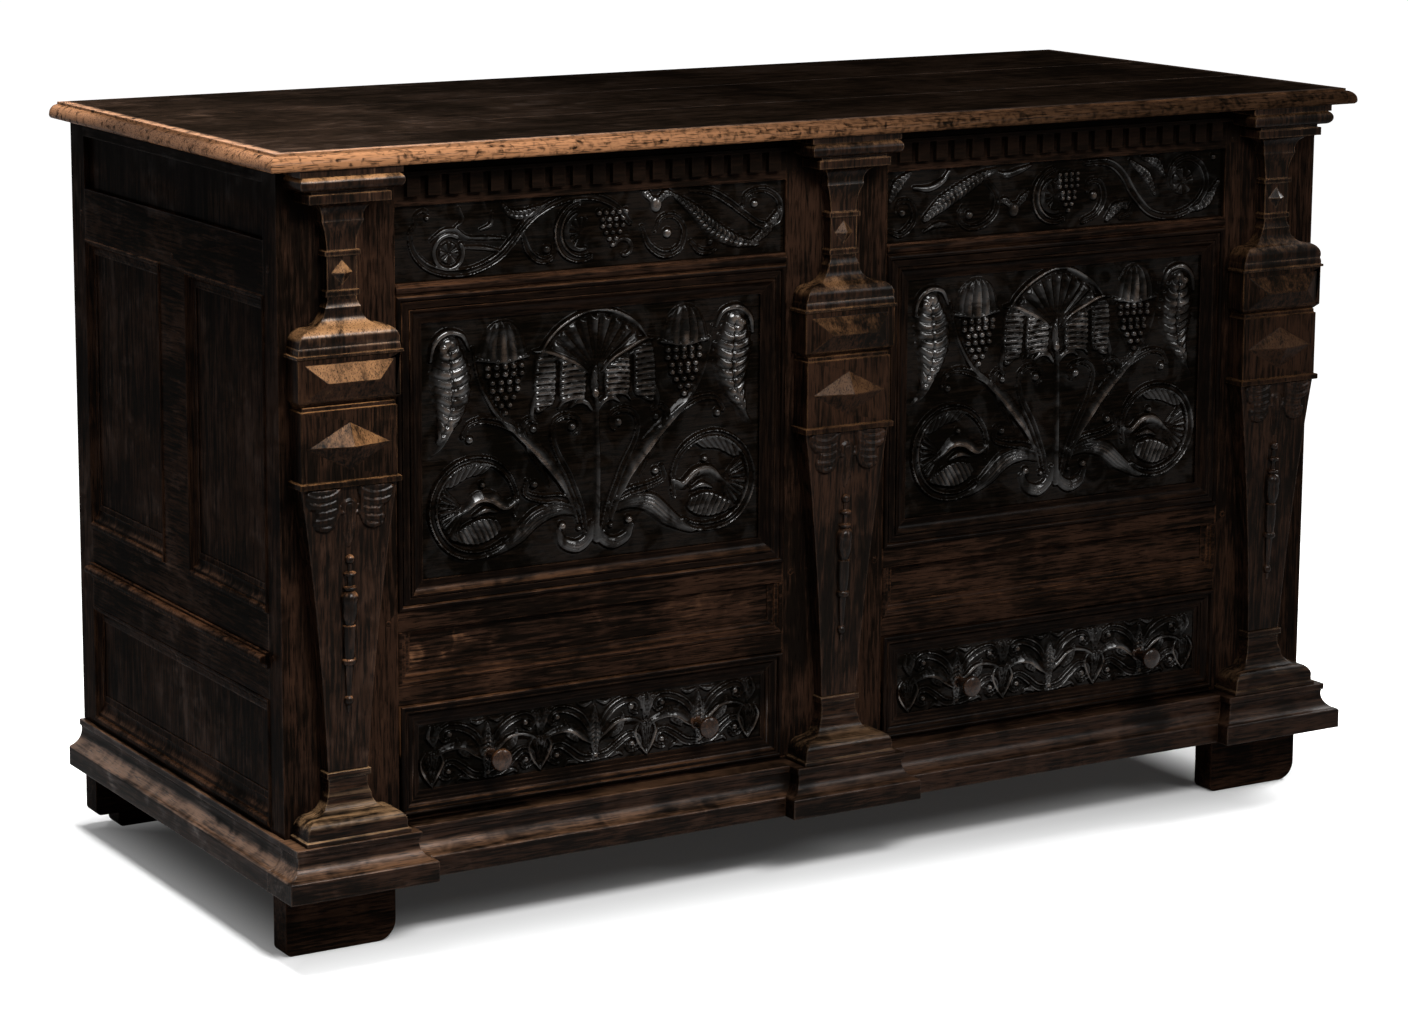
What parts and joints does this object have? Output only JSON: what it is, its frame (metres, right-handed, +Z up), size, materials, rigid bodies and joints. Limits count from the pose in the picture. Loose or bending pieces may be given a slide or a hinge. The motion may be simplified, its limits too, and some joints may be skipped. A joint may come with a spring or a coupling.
{
  "type": "cassone",
  "caption": "Long joined oak chest with a hinged board lid, carved framed panels between pilasters, knobbed drawers under the well and a moulded plinth on block feet",
  "frame": {"origin": "on the floor, under the middle of the whole chest", "axes": "+X along the length to the right seen from the front, the front faces -Y, +Z up"},
  "size_m": [1.5564, 0.6862, 0.94],
  "materials": {
    "dark_oak": "waxed, dark stained",
    "lid_oak": "waxed, worn",
    "knob_wood": "polished",
    "bare_oak": "unpolished, aged",
    "iron": "forged, blackened"
  },
  "bodies": {
    "root": {"front_stile_left": "dark_oak", "front_stile_right": "dark_oak", "front_muntin": "dark_oak", "front_bottom_rail": "dark_oak", "bay_rails_left": "dark_oak", "frieze_panel_left": "dark_oak", "main_panel_left": "dark_oak", "main_moulding_left": "dark_oak", "end_frame_left": "dark_oak", "end_panels_left": "dark_oak", "end_mouldings_left": "dark_oak", "rear_stile_left": "dark_oak", "bay_rails_right": "dark_oak", "frieze_panel_right": "dark_oak", "main_panel_right": "dark_oak", "main_moulding_right": "dark_oak", "end_frame_right": "dark_oak", "end_panels_right": "dark_oak", "end_mouldings_right": "dark_oak", "rear_stile_right": "dark_oak", "pilaster_left_capital": "dark_oak", "pilaster_left_blocks": "dark_oak", "pilaster_left_shaft": "dark_oak", "pilaster_centre_capital": "dark_oak", "pilaster_centre_blocks": "dark_oak", "pilaster_centre_shaft": "dark_oak", "pilaster_right_capital": "dark_oak", "pilaster_right_blocks": "dark_oak", "pilaster_right_shaft": "dark_oak", "pilaster_turnings": "dark_oak", "pilaster_bases": "dark_oak", "low_panels": "dark_oak", "low_mouldings": "dark_oak", "plinth_front": "dark_oak", "plinth_ends": "dark_oak", "front_feet": "dark_oak", "rear_feet": "dark_oak", "back_frame": "bare_oak", "back_panels": "bare_oak", "well_floor_boards": "bare_oak", "well_floor_ledges": "bare_oak", "drawer_runners": "bare_oak", "pegs": "dark_oak", "hinge_back_leaves": "iron", "hinge_pins": "iron", "hinge_back_nails": "iron"},
    "lid": {"lid_boards": "lid_oak", "lid_battens": "bare_oak", "hinge_straps": "iron", "hinge_strap_nails": "iron"},
    "drawer_left": {"drawer_left_front": "dark_oak", "drawer_left_box": "bare_oak", "drawer_left_moulding": "dark_oak", "drawer_left_knobs": "knob_wood"},
    "drawer_right": {"drawer_right_front": "dark_oak", "drawer_right_box": "bare_oak", "drawer_right_moulding": "dark_oak", "drawer_right_knobs": "knob_wood"}
  },
  "joints": [
    {"name": "lid_hinge", "type": "hinge", "parent": "root", "child": "lid", "pos_m": [0, 0.33715, 0.914], "axis": [-1, 0, 0], "range_deg": [0, 95]},
    {"name": "drawer_left_slide", "type": "slide", "parent": "root", "child": "drawer_left", "axis": [0, -1, 0], "range_m": [0, 0.38]},
    {"name": "drawer_right_slide", "type": "slide", "parent": "root", "child": "drawer_right", "axis": [0, -1, 0], "range_m": [0, 0.38]}
  ]
}
